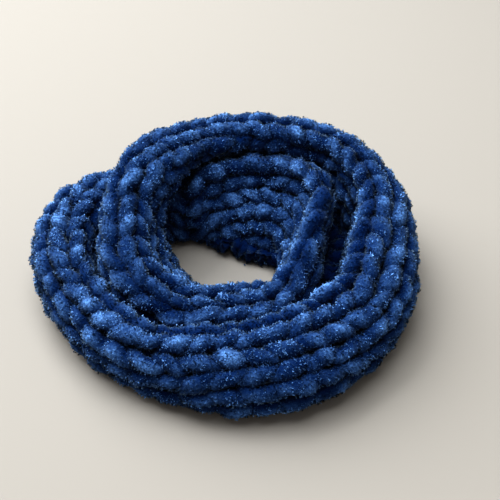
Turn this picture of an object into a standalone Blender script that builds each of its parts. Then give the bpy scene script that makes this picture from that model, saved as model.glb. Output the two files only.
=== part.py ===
"""A chunky knitted neck warmer: one closed band wound twice and laid down as a ring.

Each stretch that shows is one solid, lofted through upright sections of the gathered band.
Lengths in the tables are millimetres. X runs to the right, Y to the back and Z up.
"""

import math

import bpy
import numpy as np

MM = 0.001

# Driving dimensions, in millimetres
RING_CENTRE = np.array([2.28, 4.12])
CROSSING_AZIMUTH = 142.0
ONE_TURN = 360.0
WHOLE_WINDING = 2 * ONE_TURN
RIB_PITCH = 20.0
RIB_GROOVE = 4.0
STITCH_DIP = 2.4
SEAM_GAP = 0.3
FLAT_BAND = 4.0
OUTER_STITCHES = 32
INNER_STITCHES = 20

# Points on a section: from the crest down either side, and across its flat foot
OUTER_SIDE_POINTS = 26
FOOT_POINTS = 3
INNER_SIDE_POINTS = 28
OUTER_STEP = ONE_TURN / OUTER_STITCHES / 2
INNER_STEP = ONE_TURN / INNER_STITCHES / 4
ARC_HANDLE = 0.5523
ARC_POINTS = 24
SHARP_EDGE = math.radians(60)

# One row for each shaping section. "turned" is the angle travelled clockwise from the crossing,
# 0 to 360 on the outer turn and 360 to 720 on the inner one. Every r is a distance from the ring's
# centre. The foot is flat from foot_in to foot_out at height base. The belly is the outermost
# point, the crest the top, the lip the innermost point high up, and the notch the one below it,
# where the other turn tucks in.
COLUMNS = (
    "turned", "foot_in", "foot_out", "base", "belly_r", "belly_z",
    "crest_r", "crest_z", "lip_r", "lip_z", "notch_r", "notch_z",
)
SECTIONS = (
    (0, 60, 88, 54, 104, 72, 84, 94, 52, 78, 54, 65),
    (12, 68, 95, 54, 107, 72, 84, 95, 52, 79, 58, 66),
    (22, 96, 108, 42, 112, 62, 84, 94, 54, 80, 78, 65),
    (34, 92, 112, 14, 119, 48, 87, 92, 58, 81, 84, 62),
    (52, 90, 116, 0, 125, 38, 92, 91, 68, 80, 82, 62),
    (82, 98, 126, 0, 138, 38, 104, 90, 88, 79, 92, 58),
    (92, 94, 130, 0, 142, 39, 110, 88, 96, 77, 97, 44),
    (105, 90, 136, 0, 147, 40, 119, 86, 105, 75, 102, 34),
    (125, 86, 140, 0, 151, 40, 118, 77, 106, 64, 102, 28),
    (142, 74, 136, 0, 146, 36, 107, 69, 95, 56, 90, 20),
    (158, 74, 136, 0, 148, 32, 104, 64, 91, 50, 86, 18),
    (172, 76, 134, 0, 146, 28, 104, 60, 90, 46, 86, 16),
    (187, 80, 133, 0, 144, 24, 98, 56, 84, 43, 85, 15),
    (202, 82, 131, 0, 143, 22, 92, 54, 80, 42, 84, 15),
    (232, 84, 126, 0, 134, 20, 91, 52, 80, 41, 85, 15),
    (262, 90, 121, 0, 130, 20, 103, 51, 92, 41, 92, 15),
    (292, 94, 127, 0, 138, 28, 110, 53, 97, 42, 97, 16),
    (322, 94, 138, 0, 151, 34, 122, 57, 103, 44, 100, 16),
    (342, 92, 138, 0, 150, 36, 123, 58, 101, 44, 98, 18),
    (350, 82, 132, 0, 143, 38, 120, 57, 96, 43, 86, 18),
    (360, 66, 126, 0, 137, 36, 112, 54, 82, 42, 66, 16),
    (372, 58, 106, 0, 116, 22, 84, 46, 57, 34, 54, 14),
    (382, 50, 84, 0, 88, 20, 66, 54, 50, 45, 45, 14),
    (392, 38, 74, 0, 80, 28, 67, 68, 52, 56, 38, 15),
    (412, 29, 68, 0, 80, 36, 69, 73, 55, 60, 32, 14),
    (442, 25, 76, 0, 88, 42, 80, 75, 66, 62, 32, 14),
    (465, 32, 82, 0, 95, 54, 86, 79, 72, 64, 36, 14),
    (478, 37, 78, 0, 92, 54, 81, 79, 71, 64, 40, 13),
    (490, 40, 70, 0, 80, 42, 71, 74, 62, 60, 41, 13),
    (502, 40, 68, 0, 75, 34, 64, 67, 55, 54, 41, 13),
    (518, 40, 68, 0, 74, 30, 60, 60, 51, 46, 42, 13),
    (532, 40, 71, 0, 76, 26, 59, 51, 48, 38, 42, 13),
    (547, 37, 73, 0, 79, 24, 60, 44, 42, 31, 36, 12),
    (562, 34, 74, 0, 80, 23, 60, 40, 34, 27, 31, 12),
    (592, 29, 76, 0, 81, 23, 60, 41, 28, 26, 27, 12),
    (622, 30, 82, 0, 87, 28, 75, 49, 42, 36, 27, 14),
    (652, 34, 84, 0, 96, 40, 82, 64, 56, 48, 32, 16),
    (682, 40, 86, 0, 97, 52, 80, 78, 56, 60, 38, 20),
    (697, 50, 86, 18, 98, 60, 82, 86, 56, 68, 50, 38),
    (710, 56, 86, 46, 101, 68, 84, 92, 54, 75, 53, 61),
)

# The stretches that show, each named for where it lies, with the angles where it starts and ends
STRETCHES = (
    ("outer_back", 0, 90),
    ("outer_right", 90, 180),
    ("outer_front", 180, 270),
    ("outer_left", 270, 360),
    ("inner_back", 360, 450),
    ("inner_right", 450, 540),
    ("inner_front", 540, 630),
    ("inner_left", 630, 720),
)

YARN_BLUE = (0.016, 0.052, 0.235, 1.0)
YARN_ROUGHNESS = 0.95
YARN_SHEEN = 0.4


def closed_curve(knots, values, period, at):
    """Smooth closed curve through values at knots: cubic Hermite arcs with central slopes."""
    knots = np.asarray(knots, float)
    values = np.asarray(values, float)
    before = np.roll(knots, 1)
    before[0] -= period
    after = np.roll(knots, -1)
    after[-1] += period
    slopes = (np.roll(values, -1, 0) - np.roll(values, 1, 0)) / (after - before)[:, None]
    at = np.mod(np.asarray(at, float), period)
    low = np.searchsorted(knots, at, side="right") - 1
    high = (low + 1) % len(knots)
    span = (after - knots)[low]
    t = ((at - knots[low]) / span)[:, None]
    span = span[:, None]
    return (
        (2 * t**3 - 3 * t**2 + 1) * values[low]
        + (t**3 - 2 * t**2 + t) * span * slopes[low]
        + (3 * t**2 - 2 * t**3) * values[high]
        + (t**3 - t**2) * span * slopes[high]
    )


def section_sizes(turned):
    """The named sizes of the section at this angle, smoothed between the table's rows."""
    table = np.array(SECTIONS, float)
    row = closed_curve(table[:, 0], table[:, 1:], WHOLE_WINDING, [turned])[0]
    size = dict(zip(COLUMNS[1:], row))
    size["base"] = max(size["base"], 0.0)
    return size


def bezier(p0, p1, p2, p3):
    """Points on a cubic Bezier arc, without its last point."""
    t = np.linspace(0, 1, ARC_POINTS, endpoint=False)[:, None]
    corners = [np.array(p, float) for p in (p0, p1, p2, p3)]
    weights = ((1 - t) ** 3, 3 * t * (1 - t) ** 2, 3 * t**2 * (1 - t), t**3)
    return sum(w * p for w, p in zip(weights, corners))


def quarter(start, end, starts_upright):
    """A quarter ellipse from start to end, leaving upright or level and arriving the other way."""
    dr, dz = end[0] - start[0], end[1] - start[1]
    if starts_upright:
        first = (start[0], start[1] + ARC_HANDLE * dz)
        second = (end[0] - ARC_HANDLE * dr, end[1])
    else:
        first = (start[0] + ARC_HANDLE * dr, start[1])
        second = (end[0], end[1] - ARC_HANDLE * dz)
    return bezier(start, first, second, end)


def side_lines(size):
    """The two sides of a section as dense lines in (r, z), both from the crest down to the foot."""
    foot_in = (size["foot_in"], size["base"])
    foot_out = (size["foot_out"], size["base"])
    belly = (size["belly_r"], size["belly_z"])
    crest = (size["crest_r"], size["crest_z"])
    lip = (size["lip_r"], size["lip_z"])
    notch = (size["notch_r"], size["notch_z"])
    drop = (lip[1] - notch[1]) / 3
    outer = [quarter(crest, belly, False), quarter(belly, foot_out, True), [foot_out]]
    tuck = bezier(lip, (lip[0], lip[1] - drop), (notch[0], notch[1] + drop), notch)
    inner = [quarter(crest, lip, False), tuck, quarter(notch, foot_in, True), [foot_in]]
    return np.concatenate(outer), np.concatenate(inner)


def spaced(line, count):
    """The line again as count points an equal way apart, and each one's way from the start."""
    steps = np.linalg.norm(np.diff(line, axis=0), axis=1)
    way = np.concatenate([[0], np.cumsum(steps)])
    at = np.linspace(0, way[-1], count)
    return np.stack([np.interp(at, way, line[:, k]) for k in range(2)], 1), at


def outward_normals(line):
    """Unit normals of a closed line in (r, z) that runs from the outer side over the crest."""
    along = np.roll(line, -1, 0) - np.roll(line, 1, 0)
    across = np.stack([along[:, 1], -along[:, 0]], 1)
    return across / np.linalg.norm(across, axis=1)[:, None]


def stitch_count_at(turned):
    """How many stitches along the band lie before this angle."""
    lap, part = divmod(turned, ONE_TURN)
    per_lap = (OUTER_STITCHES, INNER_STITCHES)
    return sum(per_lap[: int(lap)]) + part / ONE_TURN * per_lap[int(lap) % 2]


def section_outline(turned):
    """One section as a closed line in (r, z): grooved between ribs, dipped between stitches."""
    outer, inner = side_lines(section_sizes(turned))
    outer, way_out = spaced(outer, OUTER_SIDE_POINTS)
    inner, way_in = spaced(inner, INNER_SIDE_POINTS)
    foot = np.linspace(outer[-1], inner[-1], FOOT_POINTS + 2)[1:-1]
    line = np.concatenate([outer[::-1], inner[1:], foot[::-1]])
    way = np.concatenate([way_out[::-1], -way_in[1:], np.zeros(FOOT_POINTS)])
    rib = 0.5 + 0.5 * np.cos(2 * math.pi * way / RIB_PITCH)
    stitch = 0.5 + 0.5 * math.cos(2 * math.pi * stitch_count_at(turned))
    depth = RIB_GROOVE * (1 - rib) + STITCH_DIP * (1 - stitch) * rib
    height = line[:, 1] - line[:, 1].min()
    depth *= np.clip(height / FLAT_BAND - 1, 0, 1)
    return line - outward_normals(line) * depth[:, None]


def placed(outline, turned, shift):
    """A section's outline as points in space, moved along the band by shift millimetres."""
    angle = math.radians(CROSSING_AZIMUTH - turned)
    out = np.array([math.cos(angle), math.sin(angle)])
    along = np.array([math.sin(angle), -math.cos(angle)])
    flat = RING_CENTRE + outline[:, :1] * out + shift * along
    return np.column_stack([flat, outline[:, 1]]) * MM


def section_angles(start, end):
    """The angles of a stretch's sections: half a stitch apart outside, a quarter inside."""
    step = OUTER_STEP if start < ONE_TURN else INNER_STEP
    return np.linspace(start, end, round((end - start) / step) + 1)


def build_stretch(name, start, end, material, collection):
    """Lofts one stretch of the band as a closed solid, set back half a gap at each end."""
    angles = section_angles(start, end)
    last = len(angles) - 1
    rings = []
    for i, turned in enumerate(angles):
        shift = SEAM_GAP / 2 * ((i == 0) - (i == last))
        rings.append(placed(section_outline(turned), turned, shift))
    count = len(rings[0])
    faces = []
    for i in range(last):
        for j in range(count):
            k = (j + 1) % count
            faces.append((i * count + j, i * count + k, (i + 1) * count + k, (i + 1) * count + j))
    faces.append(tuple(range(count))[::-1])
    faces.append(tuple(range(last * count, (last + 1) * count)))
    mesh = bpy.data.meshes.new(name)
    mesh.from_pydata(np.concatenate(rings).tolist(), [], faces)
    mesh.validate()
    mesh.shade_smooth()
    mesh.set_sharp_from_angle(angle=SHARP_EDGE)
    mesh.materials.append(material)
    stretch = bpy.data.objects.new(name, mesh)
    collection.objects.link(stretch)
    return stretch


def chenille_material():
    """Deep blue chenille yarn."""
    material = bpy.data.materials.new("blue_chenille")
    material.use_nodes = True
    shader = material.node_tree.nodes["Principled BSDF"]
    shader.inputs["Base Color"].default_value = YARN_BLUE
    shader.inputs["Roughness"].default_value = YARN_ROUGHNESS
    shader.inputs["Sheen Weight"].default_value = YARN_SHEEN
    return material


def main():
    for old in list(bpy.data.objects):
        bpy.data.objects.remove(old)
    collection = bpy.data.collections.new("neck_warmer")
    bpy.context.scene.collection.children.link(collection)
    material = chenille_material()
    for name, start, end in STRETCHES:
        build_stretch(name, start, end, material, collection)


main()
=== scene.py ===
"""A chunky neck warmer in thick blue chenille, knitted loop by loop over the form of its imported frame."""

import math

import bpy
import numpy as np
from bpy.props import FloatProperty, FloatVectorProperty, IntProperty, PointerProperty
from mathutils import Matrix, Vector


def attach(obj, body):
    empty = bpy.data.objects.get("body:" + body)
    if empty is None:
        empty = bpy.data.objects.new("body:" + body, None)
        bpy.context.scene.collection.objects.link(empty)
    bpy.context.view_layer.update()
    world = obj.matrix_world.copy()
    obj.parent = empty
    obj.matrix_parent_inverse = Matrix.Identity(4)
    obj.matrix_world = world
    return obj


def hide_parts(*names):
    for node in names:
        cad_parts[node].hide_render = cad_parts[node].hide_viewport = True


bl_info = {
    "name": "Chunky Chenille Neck Warmer",
    "version": (1, 0, 0),
    "blender": (4, 5, 0),
    "location": "View3D > Sidebar > Neck Warmer",
    "description": "Knits a band of chenille yarn, wound twice into a ring, over its packed frame",
    "category": "Object",
}

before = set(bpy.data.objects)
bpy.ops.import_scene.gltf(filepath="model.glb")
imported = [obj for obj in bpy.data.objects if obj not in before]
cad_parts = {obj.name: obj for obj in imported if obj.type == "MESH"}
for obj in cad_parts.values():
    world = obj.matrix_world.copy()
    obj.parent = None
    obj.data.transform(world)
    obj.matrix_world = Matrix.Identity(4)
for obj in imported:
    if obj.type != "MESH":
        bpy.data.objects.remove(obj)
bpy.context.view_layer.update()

MM = 0.001
TAU = 2 * math.pi
TINY = 1e-9

# The band's form, as the frame has it, in millimetres and degrees
RING_CENTRE = np.array([2.28, 4.12])
CROSSING_AZIMUTH = 142.0
ONE_TURN = 360.0
WHOLE_WINDING = 2 * ONE_TURN
STRETCH_ANGLE = 90.0
STRETCHES = (
    "outer_back", "outer_right", "outer_front", "outer_left",
    "inner_back", "inner_right", "inner_front", "inner_left",
)
COLUMNS = (
    "turned", "foot_in", "foot_out", "base", "belly_r", "belly_z",
    "crest_r", "crest_z", "lip_r", "lip_z", "notch_r", "notch_z",
)
SECTIONS = (
    (0, 60, 88, 54, 104, 72, 84, 94, 52, 78, 54, 65),
    (12, 68, 95, 54, 107, 72, 84, 95, 52, 79, 58, 66),
    (22, 96, 108, 42, 112, 62, 84, 94, 54, 80, 78, 65),
    (34, 92, 112, 14, 119, 48, 87, 92, 58, 81, 84, 62),
    (52, 90, 116, 0, 125, 38, 92, 91, 68, 80, 82, 62),
    (82, 98, 126, 0, 138, 38, 104, 90, 88, 79, 92, 58),
    (92, 94, 130, 0, 142, 39, 110, 88, 96, 77, 97, 44),
    (105, 90, 136, 0, 147, 40, 119, 86, 105, 75, 102, 34),
    (125, 86, 140, 0, 151, 40, 118, 77, 106, 64, 102, 28),
    (142, 74, 136, 0, 146, 36, 107, 69, 95, 56, 90, 20),
    (158, 74, 136, 0, 148, 32, 104, 64, 91, 50, 86, 18),
    (172, 76, 134, 0, 146, 28, 104, 60, 90, 46, 86, 16),
    (187, 80, 133, 0, 144, 24, 98, 56, 84, 43, 85, 15),
    (202, 82, 131, 0, 143, 22, 92, 54, 80, 42, 84, 15),
    (232, 84, 126, 0, 134, 20, 91, 52, 80, 41, 85, 15),
    (262, 90, 121, 0, 130, 20, 103, 51, 92, 41, 92, 15),
    (292, 94, 127, 0, 138, 28, 110, 53, 97, 42, 97, 16),
    (322, 94, 138, 0, 151, 34, 122, 57, 103, 44, 100, 16),
    (342, 92, 138, 0, 150, 36, 123, 58, 101, 44, 98, 18),
    (350, 82, 132, 0, 143, 38, 120, 57, 96, 43, 86, 18),
    (360, 66, 126, 0, 137, 36, 112, 54, 82, 42, 66, 16),
    (372, 58, 106, 0, 116, 22, 84, 46, 57, 34, 54, 14),
    (382, 50, 84, 0, 88, 20, 66, 54, 50, 45, 45, 14),
    (392, 38, 74, 0, 80, 28, 67, 68, 52, 56, 38, 15),
    (412, 29, 68, 0, 80, 36, 69, 73, 55, 60, 32, 14),
    (442, 25, 76, 0, 88, 42, 80, 75, 66, 62, 32, 14),
    (465, 32, 82, 0, 95, 54, 86, 79, 72, 64, 36, 14),
    (478, 37, 78, 0, 92, 54, 81, 79, 71, 64, 40, 13),
    (490, 40, 70, 0, 80, 42, 71, 74, 62, 60, 41, 13),
    (502, 40, 68, 0, 75, 34, 64, 67, 55, 54, 41, 13),
    (518, 40, 68, 0, 74, 30, 60, 60, 51, 46, 42, 13),
    (532, 40, 71, 0, 76, 26, 59, 51, 48, 38, 42, 13),
    (547, 37, 73, 0, 79, 24, 60, 44, 42, 31, 36, 12),
    (562, 34, 74, 0, 80, 23, 60, 40, 34, 27, 31, 12),
    (592, 29, 76, 0, 81, 23, 60, 41, 28, 26, 27, 12),
    (622, 30, 82, 0, 87, 28, 75, 49, 42, 36, 27, 14),
    (652, 34, 84, 0, 96, 40, 82, 64, 56, 48, 32, 16),
    (682, 40, 86, 0, 97, 52, 80, 78, 56, 60, 38, 20),
    (697, 50, 86, 18, 98, 60, 82, 86, 56, 68, 50, 38),
    (710, 56, 86, 46, 101, 68, 84, 92, 54, 75, 53, 61),
)

# How finely the form is sampled: sections round the winding, points on each side, and on each arc
SECTION_COUNT = 720
SIDE_POINTS = 128
ARC_POINTS = 32

# Yarn samples along one stitch, from foot to foot: few where it is hidden, more on the two arms
STITCH_SAMPLES = np.concatenate([
    np.linspace(0.0, 0.08, 2, endpoint=False),
    np.linspace(0.08, 0.42, 11, endpoint=False),
    np.linspace(0.42, 0.58, 4, endpoint=False),
    np.linspace(0.58, 0.92, 11, endpoint=False),
    np.linspace(0.92, 1.0, 2, endpoint=False),
])
YARN_SIDES = 10

# The crest's column of stitches is stretched open round these angles turned, over this angle each way
OPEN_CHAINS = ((160.0, 75.0), (495.0, 60.0))

# How much a course strays at random: across in columns, along in rows, in depth, and in thickness
COLUMN_WOBBLE = 0.035
ROW_WOBBLE = 0.05
DEPTH_WOBBLE = 0.5 * MM
THICKNESS_WOBBLE = 0.05

# The yarn's thickness along a stitch, in shares of its radius, and its taper at a course's two ends
THIN_SHARE = 0.74
PLUMP_SHARE = 0.32
PLUMP_POWER = 1.2
TAPER_STITCHES = 0.08
TAPER_SHARE = 0.2

# The lumps of the pile: how much of each is kept and shared out in smoothing, and the most it may be
TUFT_KEPT = 0.6
TUFT_SHARED = 0.3
TUFT_LIMIT = 2

# The gap left over the floor, under the yarn and under the lining
YARN_GAP = 0.2 * MM
LINING_GAP = 0.5 * MM

# The fibres: how far round the yarn they stand, in turns each way from its top, how they lean, how
# their lengths differ, and how their ends are twisted and skewed
PILE_SPREAD = 0.43
LEAN_ALONG = 0.6
RISE_SHARE = 0.6
LEAN_RANGE = (0.3, 1.2)
LENGTH_RANGE = (0.5, 1.1)
LEAF_TWIST = 0.35
LEAF_SKEW = 0.3
ROOT_DEPTH_IN_MM = 0.5

# How far the shading of a bunch of fibres follows its own leaf, against the yarn that it stands on
LEAF_RELIEF = 0.22

# Tones, from 0 for deep blue to 1 for bright: a leaf's root and its two ends, and the yarn under them
# The root and the yarn under the fibres are darker than the ends as painted shade down in the pile
LEAF_TONES = (0.52, 0.86, 0.86)
YARN_TONE = 0.55
TUFT_CONTRAST = 0.13
BAR_CONTRAST = 0.15
LEAF_CONTRAST = 0.05

# The noises that multiply the tone, each with its contrast, and the power that deepens the result
FIBRES_PER_METRE = 620.0
FIBRE_DETAIL = 3.0
FIBRE_ROUGHNESS = 0.65
FIBRE_CONTRAST = 1.4
PATCHES_PER_METRE = 45.0
PATCH_DETAIL = 1.0
PATCH_CONTRAST = 0.22
TONE_POWER = 3.3

# The surface of the chenille: yarn and lining have more bump than the fibres and less sheen
CHENILLE_ROUGHNESS = 0.95
SPECULAR_LEVEL = 0.10
SPECULAR_TINT = (0.30, 0.58, 1.0, 1.0)
SHEEN_ROUGHNESS = 0.5
SHEEN_TINT = (0.58, 0.80, 1.0, 1.0)
YARN_BUMP = 0.0012
YARN_SHEEN = 0.15
LEAF_BUMP = 0.0005
LEAF_SHEEN = 0.6

# How often the yarn's map repeats along it
MAPS_PER_METRE = 10

# The lining: its depth behind the yarn in shares of the knit's depth, and its points
LINING_DEPTH = 0.6
LINING_SECTIONS = 46
LINING_POINTS = 40

# Where the random draws start
KNIT_SEED = 11
PILE_SEED = 8

# The floor, and the soft lights: name, setting of its power, size, place and colour
FLOOR_HALF = 4.0
FLOOR_ROUGHNESS = 0.9
LIGHTS = (
    ("window", "window_power", 2.4, (-1.35, 1.25, 1.60), (1.0, 0.98, 0.95)),
    ("ceiling", "ceiling_power", 1.2, (-0.12, 0.22, 1.60), (1.0, 0.99, 0.97)),
    ("fill", "fill_power", 0.6, (0.15, -0.9, 0.7), (1.0, 0.72, 0.48)),
)
SKY_COLOUR = (1.0, 0.96, 0.90, 1.0)

# The camera: where it looks, how far off it is, its height above the horizon and its angle of view
CAMERA_TARGET = Vector((0.02028, 0.00912, 0.030))
CAMERA_DISTANCE = 0.620
CAMERA_ELEVATION = math.radians(45.0)
CAMERA_FIELD = math.radians(34.9)


class NeckWarmerYarnSettings(bpy.types.PropertyGroup):
    """Sizes and colours of the yarn, its stitches and its pile."""

    yarn_radius: FloatProperty(
        name="Yarn radius", description="Half the thickness of the yarn inside its pile", default=0.0060,
        unit="LENGTH")
    courses: IntProperty(
        name="Courses", description="Rows of stitches in the whole loop", default=64)
    wale_width: FloatProperty(
        name="Column width", description="Width of one column of stitches", default=0.0265,
        unit="LENGTH")
    crest_width: FloatProperty(
        name="Crest column width", description="Width of the column spread along the top edge",
        default=0.0280, unit="LENGTH")
    loop_reach: FloatProperty(
        name="Loop reach", description="How far a loop reaches each way, in rows", default=0.84)
    arm_lean: FloatProperty(
        name="Arm lean", description="How far the arms of a stitch lean, in columns", default=0.17)
    open_chain: FloatProperty(
        name="Open chain", description="How much wider the crest's column is where it is stretched",
        default=0.0070, unit="LENGTH")
    cloth_depth: FloatProperty(
        name="Knit depth", description="How far the head of a loop lies behind its arms",
        default=0.0080, unit="LENGTH")
    unevenness: FloatProperty(
        name="Unevenness", description="How much the stitches differ", default=1.0)
    tuft_height: FloatProperty(
        name="Tuft height", description="Height of the lumps that the pile makes",
        default=0.0009, unit="LENGTH")
    fibre_length: FloatProperty(
        name="Fibre length", description="Length of the loose fibres of the pile",
        default=0.0018, unit="LENGTH")
    fibre_width: FloatProperty(
        name="Fibre width", description="Width of a bunch of fibres at its root",
        default=0.0013, unit="LENGTH")
    bar_length: FloatProperty(
        name="Bar length", description="Length along the yarn of the bars that its pile parts into",
        default=0.0026, unit="LENGTH")
    fibres: IntProperty(
        name="Fibres", description="Bunches of fibres over the whole ring", default=650000)
    # Painted shade: how much darker the pile is painted deep in the knit and on the yarn's flanks
    shaded: FloatProperty(
        name="Painted knit shade", description="How much darker the pile is painted where it lies deep in the knit",
        default=0.65)
    flank_shade: FloatProperty(
        name="Flank shade",
        description="How much darker the pile is on the yarn's flanks than on its top", default=0.60)
    # Deep blue is the painted shade down in the pile and behind the stitches, and the darkest random tone
    deep_blue: FloatVectorProperty(
        name="Deep blue", description="Colour of the painted shade down in the pile and of the darkest tones", subtype="COLOR",
        default=(0.0006, 0.0190, 0.095), min=0, max=1)
    bright_blue: FloatVectorProperty(
        name="Bright blue", description="Colour at the tips of the pile", subtype="COLOR",
        default=(0.2200, 0.4700, 1.000), min=0, max=1)


class NeckWarmerStageSettings(bpy.types.PropertyGroup):
    """Colour of the floor and strength of the lights."""

    floor_colour: FloatVectorProperty(
        name="Floor colour", description="Colour of the pale floor", subtype="COLOR",
        default=(0.325, 0.318, 0.304), min=0, max=1)
    window_power: FloatProperty(
        name="Window power", description="Power of the soft light from the back left",
        default=82.0, unit="POWER")
    ceiling_power: FloatProperty(
        name="Ceiling power", description="Power of the soft light from above",
        default=20.0, unit="POWER")
    fill_power: FloatProperty(
        name="Fill power", description="Power of the weak light from the front",
        default=0.4, unit="POWER")
    sky_strength: FloatProperty(
        name="Sky strength", description="Strength of the even light all round", default=0.30)


def closed_curve(knots, values, period, at):
    """Smooth closed curve through values at knots: cubic Hermite arcs with central slopes."""
    before = np.roll(knots, 1)
    before[0] -= period
    after = np.roll(knots, -1)
    after[-1] += period
    slopes = (np.roll(values, -1, 0) - np.roll(values, 1, 0)) / (after - before)[:, None]
    at = np.mod(at, period)
    low = np.searchsorted(knots, at, side="right") - 1
    high = (low + 1) % len(knots)
    span = (after - knots)[low]
    t = ((at - knots[low]) / span)[:, None]
    span = span[:, None]
    return (
        (2 * t**3 - 3 * t**2 + 1) * values[low]
        + (t**3 - 2 * t**2 + t) * span * slopes[low]
        + (3 * t**2 - 2 * t**3) * values[high]
        + (t**3 - t**2) * span * slopes[high]
    )


def section_sizes(turned, inset):
    """Named sizes of the sections at these angles in metres, drawn in by inset all round."""
    table = np.array(SECTIONS, float)
    rows = closed_curve(table[:, 0], table[:, 1:], WHOLE_WINDING, turned) * MM
    size = dict(zip(COLUMNS[1:], rows.T))
    size["base"] = np.maximum(size["base"], 0) + inset
    size["foot_in"] += inset / 2
    size["foot_out"] -= inset / 2
    size["belly_r"] -= inset
    size["crest_z"] -= inset
    size["lip_r"] += inset
    size["notch_r"] += inset
    size["notch_z"] = np.maximum(size["notch_z"], size["base"] + inset)
    return size


def quarters(start, end, starts_upright):
    """Quarter ellipses from start to end: one of r and z goes by the sine, the other by 1 - cosine."""
    s = np.linspace(0, math.pi / 2, ARC_POINTS, endpoint=False)[None, :]
    early, late = np.sin(s), 1 - np.cos(s)
    in_r, in_z = (late, early) if starts_upright else (early, late)
    r = start[0][:, None] + (end[0] - start[0])[:, None] * in_r
    z = start[1][:, None] + (end[1] - start[1])[:, None] * in_z
    return np.stack([r, z], -1)


def tucks(start, end):
    """Upright S-curves from start to end: r follows the smooth step 3t2 - 2t3 and z goes evenly."""
    t = np.linspace(0, 1, ARC_POINTS, endpoint=False)[None, :]
    r = start[0][:, None] + (end[0] - start[0])[:, None] * (3 * t**2 - 2 * t**3)
    z = start[1][:, None] + (end[1] - start[1])[:, None] * t
    return np.stack([r, z], -1)


def evenly_spaced(lines, count):
    """Each line again as count points an equal way apart, with the lines' whole lengths."""
    steps = np.linalg.norm(np.diff(lines, axis=1), axis=2)
    way = np.concatenate([np.zeros((len(lines), 1)), np.cumsum(steps, 1)], 1)
    share = np.linspace(0, 1, count)
    spaced = [
        np.stack([np.interp(share * w[-1], w, line[:, k]) for k in range(2)], 1)
        for line, w in zip(lines, way)
    ]
    return np.array(spaced), way[:, -1]


class BandSurface:
    """The band's outside, drawn in by inset, as a grid of (r, z) by section and by side.

    A point is given by its angle turned along the winding and its way down from the crest in
    metres, which is positive on the outer side and negative on the inner one. Either side runs
    over the edge of the foot to the middle of it.
    """

    def __init__(self, inset):
        turned = np.arange(SECTION_COUNT) * WHOLE_WINDING / SECTION_COUNT
        size = section_sizes(turned, inset)
        foot_in = (size["foot_in"], size["base"])
        foot_out = (size["foot_out"], size["base"])
        middle = np.stack([(foot_in[0] + foot_out[0]) / 2, size["base"]], -1)[:, None]
        belly = (size["belly_r"], size["belly_z"])
        crest = (size["crest_r"], size["crest_z"])
        lip = (size["lip_r"], size["lip_z"])
        notch = (size["notch_r"], size["notch_z"])
        outer = [quarters(crest, belly, False), quarters(belly, foot_out, True)]
        inner = [quarters(crest, lip, False), tucks(lip, notch), quarters(notch, foot_in, True)]
        outer += [np.stack(foot_out, -1)[:, None], middle]
        inner += [np.stack(foot_in, -1)[:, None], middle]
        half_foot = np.abs(foot_out[0] - middle[:, 0, 0])
        outer, outer_length = evenly_spaced(np.concatenate(outer, 1), SIDE_POINTS)
        inner, inner_length = evenly_spaced(np.concatenate(inner, 1), SIDE_POINTS)
        self.grid = np.stack([outer, inner])
        self.length = np.stack([outer_length, inner_length])
        self.to_foot = self.length - half_foot
        self.mid_r = (size["crest_r"] + middle[:, 0, 0]) / 2

    def blend(self, values, side, turned):
        """Values kept for each side and section, read at these angles."""
        k = np.mod(turned / WHOLE_WINDING, 1) * SECTION_COUNT
        low = np.floor(k).astype(int) % SECTION_COUNT
        part = k - np.floor(k)
        return values[side, low] * (1 - part) + values[side, (low + 1) % SECTION_COUNT] * part

    def profile(self, turned, way):
        """(r, z) at each point, blended from the four grid points round it; way goes round and round."""
        outer = self.blend(self.length, np.zeros(np.shape(way), int), turned)
        inner = self.blend(self.length, np.ones(np.shape(way), int), turned)
        way = np.mod(way + inner, outer + inner) - inner
        side = (way < 0).astype(int)
        k = np.mod(turned / WHOLE_WINDING, 1) * SECTION_COUNT
        low = np.floor(k).astype(int) % SECTION_COUNT
        high = (low + 1) % SECTION_COUNT
        a = (k - np.floor(k))[..., None]
        share = np.clip(np.abs(way) / self.blend(self.length, side, turned), 0, 1)
        m = share * (SIDE_POINTS - 1)
        left = np.minimum(np.floor(m).astype(int), SIDE_POINTS - 2)
        b = (m - left)[..., None]
        near = self.grid[side, low, left] * (1 - b) + self.grid[side, low, left + 1] * b
        far = self.grid[side, high, left] * (1 - b) + self.grid[side, high, left + 1] * b
        return near * (1 - a) + far * a

    def place(self, turned, way):
        """Points and outward normals in space.

        A point is the ring's centre plus r times the direction at its angle, at height z. Its
        normal is square to the profile, whose slope is read over a millimetre each way.
        """
        step = 1.0 * MM
        point = self.profile(turned, way)
        along = self.profile(turned, way + step) - self.profile(turned, way - step)
        along /= np.linalg.norm(along, axis=-1, keepdims=True) + TINY
        angle = np.radians(CROSSING_AZIMUTH - turned)
        out = np.stack([np.cos(angle), np.sin(angle)], -1)
        flat = RING_CENTRE * MM + out * point[..., :1]
        position = np.concatenate([flat, point[..., 1:]], -1)
        normal = np.concatenate([-along[..., 1:] * out, along[..., :1]], -1)
        return position, normal


def angle_of_course(surface, course, courses):
    """The angle turned at a row of stitches, whose rows are an equal way apart along the band."""
    step = WHOLE_WINDING / SECTION_COUNT
    way = np.concatenate([[0], np.cumsum(surface.mid_r)])
    turned = np.arange(SECTION_COUNT + 1) * step
    laps = np.floor(course / courses)
    return np.interp(course / courses - laps, way / way[-1], turned) + laps * WHOLE_WINDING


def stretch_of(turned):
    """The number of the stretch that an angle lies in."""
    return int(np.mod(turned, WHOLE_WINDING) // STRETCH_ANGLE)


def crest_width_at(turned, yarn):
    """Width of the crest's column, which swells by a raised cosine where the chain is open."""
    width = np.full(np.shape(turned), yarn.crest_width)
    for middle, reach in OPEN_CHAINS:
        off = np.clip(np.abs(np.mod(turned, WHOLE_WINDING) - middle) / reach, 0, 1)
        width = width + yarn.open_chain * (1 + np.cos(math.pi * off)) / 2
    return width


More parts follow.
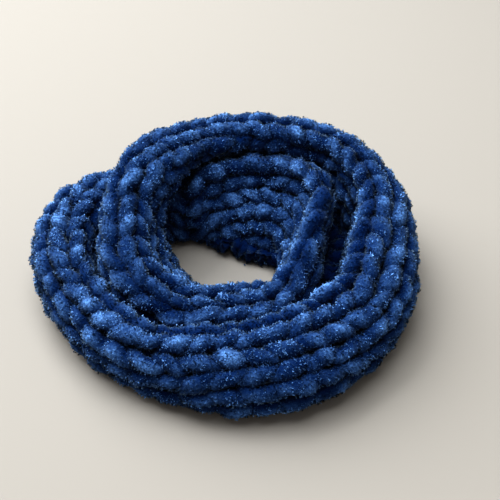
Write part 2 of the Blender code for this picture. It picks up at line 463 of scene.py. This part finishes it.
def way_of_wale(wale, turned, yarn):
    """Way from the crest to a place counted in columns: the crest's column is wider than the rest."""
    beyond = np.maximum(np.abs(wale) - 0.5, 0)
    within = np.minimum(np.abs(wale), 0.5)
    return np.sign(wale) * (within * crest_width_at(turned, yarn) + beyond * yarn.wale_width)


def uneven(rng, count, at):
    """Smooth random values at these places along a course, one knot for each half stitch."""
    knots = rng.normal(size=count * 2 + 3)
    return np.interp(at * 2, np.arange(len(knots)), knots)


class Course:
    """One row of stitches: the centre line of its yarn round the band, with its frame and radius.

    With t counting stitches, the line runs across by t + lean sin(4 pi t), along the band by
    -reach cos(2 pi t), and behind the face by depth (1 + cos(4 pi t)) / 2, which puts the two arms
    of each stitch in front, opening along the band.
    """

    def __init__(self, surface, index, yarn, rng):
        self.turned = angle_of_course(surface, np.array([index + 0.5]), yarn.courses)[0]
        sides = surface.blend(surface.to_foot, np.array([0, 1]), np.full(2, self.turned))
        wales = np.ceil((sides - yarn.crest_width / 2) / yarn.wale_width).astype(int)
        first, count = -wales[1], wales.sum() + 1
        t = np.append((np.arange(count)[:, None] + STITCH_SAMPLES).ravel(), count)
        wobble = [uneven(rng, count, t) * yarn.unevenness for _ in range(4)]
        wale = first - 0.5 + t + yarn.arm_lean * np.sin(2 * TAU * t) + COLUMN_WOBBLE * wobble[0]
        row = index + 0.5 - yarn.loop_reach * np.cos(TAU * t) + ROW_WOBBLE * wobble[1]
        behind = yarn.cloth_depth * (1 + np.cos(2 * TAU * t)) / 2 + DEPTH_WOBBLE * wobble[2]
        self.behind = behind / yarn.cloth_depth
        self.lay(surface, row, wale, behind, yarn)
        plump = THIN_SHARE + PLUMP_SHARE * np.abs(np.sin(TAU * t)) ** PLUMP_POWER
        ends = np.clip(np.minimum(t, count - t) / TAPER_STITCHES, TAPER_SHARE, 1)
        self.radius = yarn.yarn_radius * plump * ends * (1 + THICKNESS_WOBBLE * wobble[3])
        self.wrap(yarn.tuft_height, rng)

    def lay(self, surface, row, wale, behind, yarn):
        """Lays the line behind the surface, with its directions and the way along it."""
        turned = angle_of_course(surface, row, yarn.courses)
        place, normal = surface.place(turned, way_of_wale(wale, turned, yarn))
        self.centre = place - normal * behind[:, None]
        self.centre[:, 2] = np.maximum(self.centre[:, 2], yarn.yarn_radius)
        self.ahead = np.gradient(self.centre, axis=0)
        self.ahead /= np.linalg.norm(self.ahead, axis=1, keepdims=True)
        self.across = np.cross(self.ahead, normal)
        self.across /= np.linalg.norm(self.across, axis=1, keepdims=True)
        self.up = np.cross(self.across, self.ahead)
        steps = np.linalg.norm(np.diff(self.centre, axis=0), axis=1)
        self.way = np.concatenate([[0], np.cumsum(steps)])

    def wrap(self, tuft_height, rng):
        """Makes the tube round the line: its points, outward directions and random tufts."""
        angle = np.arange(YARN_SIDES) * TAU / YARN_SIDES
        self.out = (
            np.cos(angle)[None, :, None] * self.up[:, None]
            + np.sin(angle)[None, :, None] * self.across[:, None]
        )
        rough = rng.normal(size=self.out.shape[:2])
        for axis in range(2):
            beside = np.roll(rough, 1, axis) + np.roll(rough, -1, axis)
            rough = rough * TUFT_KEPT + beside * TUFT_SHARED
        self.tufts = np.clip(rough / rough.std(), -TUFT_LIMIT, TUFT_LIMIT)
        reach = self.radius[:, None] + tuft_height * self.tufts
        self.tube = self.centre[:, None] + self.out * reach[..., None]
        self.tube[..., 2] = np.maximum(self.tube[..., 2], YARN_GAP)


def unit(vectors):
    """Vectors at length 1."""
    return vectors / np.linalg.norm(vectors, axis=1, keepdims=True)


def painted_knit_shade(behind, side, yarn):
    """Painted shade on the pile: 1 on top of the yarn, less on its flanks by 1 - cosine, less in the knit.
    """
    flank = np.minimum(1 - np.cos(side * TAU / YARN_SIDES), 1)
    return (1 - yarn.shaded * behind) * (1 - yarn.flank_shade * flank)


def fibres_on(course, count, yarn, rng):
    """Corners, tones and shading normals of the fibres on a course, three corners to a bunch.

    A bunch is one leaf that fans out from a point in the yarn, anywhere round it but underneath. It
    leans over along a random tangent of the yarn, mostly round it, and its end is turned at random.
    Its tone goes from dark at the root to light at the end, as painted shade down in the pile. That is
    multiplied by a random tone that the bunches in one short bar across the yarn share, and by the
    painted shade on the yarn's flanks and deep in the knit.
    """
    tube, out = course.tube, course.out
    row = rng.integers(0, len(tube) - 1, count)
    column = rng.uniform(-PILE_SPREAD, PILE_SPREAD, count) * YARN_SIDES
    column = np.mod(np.floor(column), YARN_SIDES).astype(int)
    beside = (column + 1) % YARN_SIDES
    a, b = rng.uniform(size=(2, count, 1))
    root = tube[row, column] * (1 - a) + tube[row + 1, column] * a
    root += (tube[row, beside] - tube[row, column]) * b
    rise = unit(out[row, column] * (1 - b) + out[row, beside] * b)
    along = course.ahead[row]
    round_it = np.cross(along, rise)
    tangent = along * rng.normal(size=(count, 1)) * LEAN_ALONG + round_it * rng.normal(size=(count, 1))
    way = unit(rise * RISE_SHARE + unit(tangent) * rng.uniform(*LEAN_RANGE, (count, 1)))
    width = np.cross(way, rise + rng.normal(size=root.shape) * LEAF_TWIST)
    width *= yarn.fibre_width / 2 / np.linalg.norm(width, axis=1, keepdims=True)
    ends = root + way * yarn.fibre_length * rng.uniform(*LENGTH_RANGE, (count, 1))
    skew = way * rng.normal(size=(count, 1)) * LEAF_SKEW * yarn.fibre_width
    corners = np.stack([root - rise * ROOT_DEPTH_IN_MM * MM, ends + width + skew, ends - width - skew], 1)
    corners = corners.reshape(-1, 3)
    corners[:, 2] = np.maximum(corners[:, 2], 0)
    facing = unit(np.cross(way, width))
    facing *= np.sign(np.sum(facing * rise, axis=1, keepdims=True))
    outward = np.repeat(rise + facing * LEAF_RELIEF, 3, 0)
    bars = rng.normal(size=int(course.way[-1] / yarn.bar_length) + 2)
    bar = bars[(course.way[row] / yarn.bar_length).astype(int)]
    shade = 1 + BAR_CONTRAST * bar + LEAF_CONTRAST * rng.normal(size=count)
    # Painted shade: the pile is darker on the yarn's flanks and deep in the knit
    shade *= painted_knit_shade(course.behind[row], column + b[:, 0], yarn)
    tone = np.array(LEAF_TONES) * shade[:, None]
    return corners, tone.ravel(), outward


def knit(yarn):
    """Every course of the loop, as a dict of stretch number to list of courses."""
    surface = BandSurface(yarn.yarn_radius)
    rng = np.random.default_rng(KNIT_SEED)
    made = {number: [] for number in range(len(STRETCHES))}
    for index in range(yarn.courses):
        course = Course(surface, index, yarn, rng)
        made[stretch_of(course.turned)].append(course)
    return made


def grid_faces(rows, columns, first):
    """Quads of a grid closed round its columns, and a cap at either end, as corner lists."""
    i = np.arange(rows - 1)[:, None]
    j = np.arange(columns)[None, :]
    k = (j + 1) % columns
    quads = np.stack([i * columns + j, i * columns + k, (i + 1) * columns + k, (i + 1) * columns + j], -1)
    caps = np.stack([np.arange(columns)[::-1], (rows - 1) * columns + np.arange(columns)])
    return quads.reshape(-1, 4) + first, caps + first


def mesh_piece(name, points, face_groups, tone, uv=None, outward=None):
    """A piece from points and groups of equal-sided faces, with its tone, UV map and shading normals."""
    mesh = bpy.data.meshes.new(name)
    corners = np.concatenate([faces.ravel() for faces in face_groups])
    sizes = np.concatenate([np.full(len(faces), faces.shape[1]) for faces in face_groups])
    mesh.vertices.add(len(points))
    mesh.vertices.foreach_set("co", points.astype(np.float32).ravel())
    mesh.loops.add(len(corners))
    mesh.loops.foreach_set("vertex_index", corners.astype(np.int32))
    mesh.polygons.add(len(sizes))
    mesh.polygons.foreach_set("loop_start", (np.cumsum(sizes) - sizes).astype(np.int32))
    mesh.update(calc_edges=True)
    mesh.validate()
    mesh.shade_smooth()
    mesh.attributes.new("tone", "FLOAT", "POINT").data.foreach_set("value", tone.astype(np.float32))
    if outward is not None:
        layer = mesh.attributes.new("outward", "FLOAT_VECTOR", "POINT")
        layer.data.foreach_set("vector", outward.astype(np.float32).ravel())
    if uv is not None:
        layer = mesh.uv_layers.new(name="yarn")
        layer.data.foreach_set("uv", uv[corners].astype(np.float32).ravel())
    piece = bpy.data.objects.new(name, mesh)
    bpy.context.scene.collection.objects.link(piece)
    return piece


def finish_piece(piece, material):
    """Gives a piece its material and the body that it rides on."""
    piece.data.materials.append(material)
    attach(piece, "root")


def multiplied(group, level, texture, contrast):
    """The level times a texture's value, which is first spread by contrast about a mean of 1."""
    nodes, links = group.nodes, group.links
    share = nodes.new("ShaderNodeMath")
    share.operation = "MULTIPLY_ADD"
    share.inputs[1].default_value = contrast
    share.inputs[2].default_value = 1 - contrast / 2
    links.new(texture.outputs["Fac"], share.inputs[0])
    product = nodes.new("ShaderNodeMath")
    product.operation = "MULTIPLY"
    links.new(share.outputs[0], product.inputs[0])
    links.new(level, product.inputs[1])
    return product.outputs[0]


def noise(group, scale, detail):
    """A noise in object coordinates, at the scale of a group input."""
    texture = group.nodes.new("ShaderNodeTexNoise")
    group.links.new(group.nodes["place"].outputs["Object"], texture.inputs["Vector"])
    group.links.new(group.nodes["given"].outputs[scale], texture.inputs["Scale"])
    texture.inputs["Detail"].default_value = detail
    return texture


def chenille_group():
    """Node group: blue by the tone attribute times two noises, to a power, and a height for fibres."""
    group = bpy.data.node_groups.new("chenille_pile", "ShaderNodeTree")
    face = group.interface
    for name in ("Deep", "Bright"):
        face.new_socket(name=name, in_out="INPUT", socket_type="NodeSocketColor")
    for name in ("Fibres per metre", "Patches per metre"):
        face.new_socket(name=name, in_out="INPUT", socket_type="NodeSocketFloat")
    face.new_socket(name="Color", in_out="OUTPUT", socket_type="NodeSocketColor")
    face.new_socket(name="Height", in_out="OUTPUT", socket_type="NodeSocketFloat")
    nodes, links = group.nodes, group.links
    given, put_out = nodes.new("NodeGroupInput"), nodes.new("NodeGroupOutput")
    given.name = "given"
    nodes.new("ShaderNodeTexCoord").name = "place"
    fibres = noise(group, "Fibres per metre", FIBRE_DETAIL)
    fibres.inputs["Roughness"].default_value = FIBRE_ROUGHNESS
    patches = noise(group, "Patches per metre", PATCH_DETAIL)
    tone = nodes.new("ShaderNodeAttribute")
    tone.attribute_name = "tone"
    level = multiplied(group, tone.outputs["Fac"], fibres, FIBRE_CONTRAST)
    level = multiplied(group, level, patches, PATCH_CONTRAST)
    deepened = nodes.new("ShaderNodeMath")
    deepened.operation = "POWER"
    deepened.inputs[1].default_value = TONE_POWER
    links.new(level, deepened.inputs[0])
    colour = nodes.new("ShaderNodeMix")
    colour.data_type = "RGBA"
    links.new(deepened.outputs[0], colour.inputs["Factor"])
    links.new(given.outputs["Deep"], colour.inputs["A"])
    links.new(given.outputs["Bright"], colour.inputs["B"])
    links.new(colour.outputs["Result"], put_out.inputs["Color"])
    links.new(fibres.outputs["Fac"], put_out.inputs["Height"])
    return group


def set_surface(shader, sheen):
    """Matte, with a faint blue shine and a soft sheen of this weight."""
    shader.inputs["Roughness"].default_value = CHENILLE_ROUGHNESS
    shader.inputs["Specular IOR Level"].default_value = SPECULAR_LEVEL
    shader.inputs["Specular Tint"].default_value = SPECULAR_TINT
    shader.inputs["Sheen Weight"].default_value = sheen
    shader.inputs["Sheen Roughness"].default_value = SHEEN_ROUGHNESS
    shader.inputs["Sheen Tint"].default_value = SHEEN_TINT


def shade_outward(tree, bump):
    """Makes the bump stand on the direction kept in the outward attribute, at length 1."""
    outward = tree.nodes.new("ShaderNodeAttribute")
    outward.attribute_name = "outward"
    along = tree.nodes.new("ShaderNodeVectorMath")
    along.operation = "NORMALIZE"
    tree.links.new(outward.outputs["Vector"], along.inputs[0])
    tree.links.new(along.outputs[0], bump.inputs["Normal"])


def chenille_material(name, yarn, bump_distance, sheen, leaves=False):
    """The chenille under this name; leaves are shaded by their outward attribute."""
    material = bpy.data.materials.get(name)
    if material:
        return material
    material = bpy.data.materials.new(name)
    material.use_nodes = True
    nodes, links = material.node_tree.nodes, material.node_tree.links
    shader = nodes["Principled BSDF"]
    set_surface(shader, sheen)
    pile = nodes.new("ShaderNodeGroup")
    pile.node_tree = bpy.data.node_groups.get("chenille_pile") or chenille_group()
    pile.inputs["Deep"].default_value = (*yarn.deep_blue, 1.0)
    pile.inputs["Bright"].default_value = (*yarn.bright_blue, 1.0)
    pile.inputs["Fibres per metre"].default_value = FIBRES_PER_METRE
    pile.inputs["Patches per metre"].default_value = PATCHES_PER_METRE
    bump = nodes.new("ShaderNodeBump")
    bump.inputs["Strength"].default_value = 1.0
    bump.inputs["Distance"].default_value = bump_distance
    links.new(pile.outputs["Color"], shader.inputs["Base Color"])
    links.new(pile.outputs["Height"], bump.inputs["Height"])
    if leaves:
        shade_outward(material.node_tree, bump)
    links.new(bump.outputs["Normal"], shader.inputs["Normal"])
    return material


def knit_piece(name, courses, yarn):
    """One piece of these courses' tubes, each capped at its ends, with its tones and its map."""
    points, tones, maps, quads, caps = [], [], [], [], []
    first = 0
    for course in courses:
        shape = course.tufts.shape
        points.append(course.tube.reshape(-1, 3))
        # Painted shade: the yarn's tone is darker on its flanks and deep in the knit
        shade = painted_knit_shade(course.behind[:, None], np.arange(YARN_SIDES), yarn)
        tones.append(((YARN_TONE + TUFT_CONTRAST * course.tufts) * shade).ravel())
        around = np.broadcast_to(np.arange(YARN_SIDES) / YARN_SIDES, shape)
        along = np.broadcast_to(course.way[:, None] * MAPS_PER_METRE, shape)
        maps.append(np.stack([around, along], -1).reshape(-1, 2))
        sides, ends = grid_faces(*shape, first)
        quads.append(sides)
        caps.append(ends)
        first += course.tufts.size
    return mesh_piece(
        name,
        np.concatenate(points),
        [np.concatenate(quads), np.concatenate(caps)],
        np.concatenate(tones),
        np.concatenate(maps),
    )


def lining_grid(surface, number):
    """Points of a stretch's lining, by section and round it from the outer foot over the crest."""
    turned = np.linspace(number, number + 1, LINING_SECTIONS) * STRETCH_ANGLE
    down = np.linspace(0, 1, LINING_POINTS)
    outer, inner = (
        surface.blend(surface.length, np.full(len(turned), side), turned) for side in (0, 1)
    )
    ways = np.concatenate([outer[:, None] * down[None, ::-1], -inner[:, None] * down[None, 1:-1]], 1)
    points, _ = surface.place(np.broadcast_to(turned[:, None], ways.shape), ways)
    points[..., 2] = np.maximum(points[..., 2], LINING_GAP)
    return points


def flat_size(surface, number):
    """Width and length of a stretch laid flat, to a millimetre: all round its section, and its middle."""
    sections = SECTION_COUNT // len(STRETCHES)
    here = slice(number * sections, (number + 1) * sections)
    around = float(surface.length[:, here].sum(0).mean())
    along = float(surface.mid_r[here].mean() * math.radians(STRETCH_ANGLE))
    return round(around, 3), round(along, 3)


def add_floor(colour):
    """The pale floor, which is part of the stage."""
    half = FLOOR_HALF
    mesh = bpy.data.meshes.new("floor")
    corners = [(-half, -half, 0), (half, -half, 0), (half, half, 0), (-half, half, 0)]
    mesh.from_pydata(corners, [], [(0, 1, 2, 3)])
    floor = bpy.data.objects.new("floor", mesh)
    bpy.context.scene.collection.objects.link(floor)
    material = bpy.data.materials.new("pale_floor")
    material.use_nodes = True
    shader = material.node_tree.nodes["Principled BSDF"]
    shader.inputs["Base Color"].default_value = (*colour, 1.0)
    shader.inputs["Roughness"].default_value = FLOOR_ROUGHNESS
    mesh.materials.append(material)


def add_light(name, power, size, place, colour):
    """A square soft light at a place, turned to the ring."""
    data = bpy.data.lights.new(name, "AREA")
    data.energy = power
    data.size = size
    data.color = colour
    light = bpy.data.objects.new(name, data)
    light.location = place
    light.rotation_euler = (CAMERA_TARGET - light.location).to_track_quat("-Z", "Y").to_euler()
    bpy.context.scene.collection.objects.link(light)


def add_sky(strength):
    """Even light from all round."""
    world = bpy.data.worlds.new("soft_sky")
    bpy.context.scene.world = world
    world.use_nodes = True
    background = world.node_tree.nodes["Background"]
    background.inputs["Color"].default_value = SKY_COLOUR
    background.inputs["Strength"].default_value = strength


def add_camera():
    """The camera, looking along +Y and down at the ring."""
    data = bpy.data.cameras.new("camera")
    data.angle = CAMERA_FIELD
    camera = bpy.data.objects.new("camera", data)
    back = Vector((0, -math.cos(CAMERA_ELEVATION), math.sin(CAMERA_ELEVATION)))
    camera.location = CAMERA_TARGET + back * CAMERA_DISTANCE
    camera.rotation_euler = (-back).to_track_quat("-Z", "Y").to_euler()
    bpy.context.scene.collection.objects.link(camera)
    bpy.context.scene.camera = camera


class NECKWARMER_OT_yarn(bpy.types.Operator):
    """Knit the courses of chenille yarn, one piece for each stretch of the band."""

    bl_idname = "neck_warmer.yarn"
    bl_label = "Knit yarn"

    def execute(self, context):
        yarn = context.scene.neck_warmer_yarn
        material = chenille_material("blue_chenille", yarn, YARN_BUMP, YARN_SHEEN)
        for number, courses in knit(yarn).items():
            piece = knit_piece(f"yarn_{STRETCHES[number]}", courses, yarn)
            finish_piece(piece, material)
        return {"FINISHED"}


class NECKWARMER_OT_pile(bpy.types.Operator):
    """Raise the loose fibres of the pile all round the yarn."""

    bl_idname = "neck_warmer.pile"
    bl_label = "Raise pile"

    def execute(self, context):
        yarn = context.scene.neck_warmer_yarn
        material = chenille_material("blue_chenille_fibres", yarn, LEAF_BUMP, LEAF_SHEEN, leaves=True)
        rng = np.random.default_rng(PILE_SEED)
        knitted = knit(yarn)
        samples = sum(len(course.centre) for courses in knitted.values() for course in courses)
        for number, courses in knitted.items():
            corners, tones, outward = zip(*(
                fibres_on(course, round(yarn.fibres * len(course.centre) / samples), yarn, rng)
                for course in courses
            ))
            points = np.concatenate(corners)
            faces = np.arange(len(points)).reshape(-1, 3)
            piece = mesh_piece(
                f"pile_{STRETCHES[number]}",
                points,
                [faces],
                np.concatenate(tones),
                outward=np.concatenate(outward),
            )
            finish_piece(piece, material)
        return {"FINISHED"}


class NECKWARMER_OT_lining(bpy.types.Operator):
    """Wrap the hidden folds of each stretch in a thin sheet that stands behind the stitches."""

    bl_idname = "neck_warmer.lining"
    bl_label = "Wrap folds"

    def execute(self, context):
        yarn = context.scene.neck_warmer_yarn
        material = chenille_material("blue_chenille", yarn, YARN_BUMP, YARN_SHEEN)
        surface = BandSurface(yarn.yarn_radius + LINING_DEPTH * yarn.cloth_depth)
        for number, name in enumerate(STRETCHES):
            points = lining_grid(surface, number)
            rows, columns = points.shape[:2]
            quads, _ = grid_faces(rows, columns, 0)
            # Painted shade: tone 0 gives the whole lining the deep blue seen in the gaps behind the
            # stitches
            tone = np.zeros(rows * columns)
            piece = mesh_piece(f"folds_{name}", points.reshape(-1, 3), [quads[:, ::-1]], tone)
            finish_piece(piece, material)
            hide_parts(name)
            flat_size(surface, number)
        return {"FINISHED"}


class NECKWARMER_OT_stage(bpy.types.Operator):
    """Set the pale floor, the soft light and the camera."""

    bl_idname = "neck_warmer.stage"
    bl_label = "Set stage"

    def execute(self, context):
        settings = context.scene.neck_warmer_stage
        add_floor(settings.floor_colour)
        for name, power, size, place, colour in LIGHTS:
            add_light(name, getattr(settings, power), size, place, colour)
        add_sky(settings.sky_strength)
        context.scene.view_settings.view_transform = "Standard"
        context.scene.view_settings.look = "High Contrast"
        add_camera()
        return {"FINISHED"}


class NECKWARMER_PT_panel(bpy.types.Panel):
    """Shows the sizes and colours, and a button for each operator."""

    bl_idname = "NECKWARMER_PT_panel"
    bl_label = "Neck Warmer"
    bl_space_type = "VIEW_3D"
    bl_region_type = "UI"
    bl_category = "Neck Warmer"

    def draw(self, context):
        for settings in (context.scene.neck_warmer_yarn, context.scene.neck_warmer_stage):
            column = self.layout.column()
            for name in settings.bl_rna.properties.keys():
                if name not in ("rna_type", "name"):
                    column.prop(settings, name)
        for operator in OPERATORS:
            self.layout.operator(operator.bl_idname)


OPERATORS = (NECKWARMER_OT_yarn, NECKWARMER_OT_pile, NECKWARMER_OT_lining, NECKWARMER_OT_stage)
CLASSES = (NeckWarmerYarnSettings, NeckWarmerStageSettings, *OPERATORS, NECKWARMER_PT_panel)


def register():
    for made in CLASSES:
        bpy.utils.register_class(made)
    bpy.types.Scene.neck_warmer_yarn = PointerProperty(type=NeckWarmerYarnSettings)
    bpy.types.Scene.neck_warmer_stage = PointerProperty(type=NeckWarmerStageSettings)


def unregister():
    del bpy.types.Scene.neck_warmer_stage
    del bpy.types.Scene.neck_warmer_yarn
    for made in reversed(CLASSES):
        bpy.utils.unregister_class(made)


def main():
    register()
    bpy.ops.neck_warmer.yarn()
    bpy.ops.neck_warmer.pile()
    bpy.ops.neck_warmer.lining()
    bpy.ops.neck_warmer.stage()


if __name__ == "__main__":
    main()
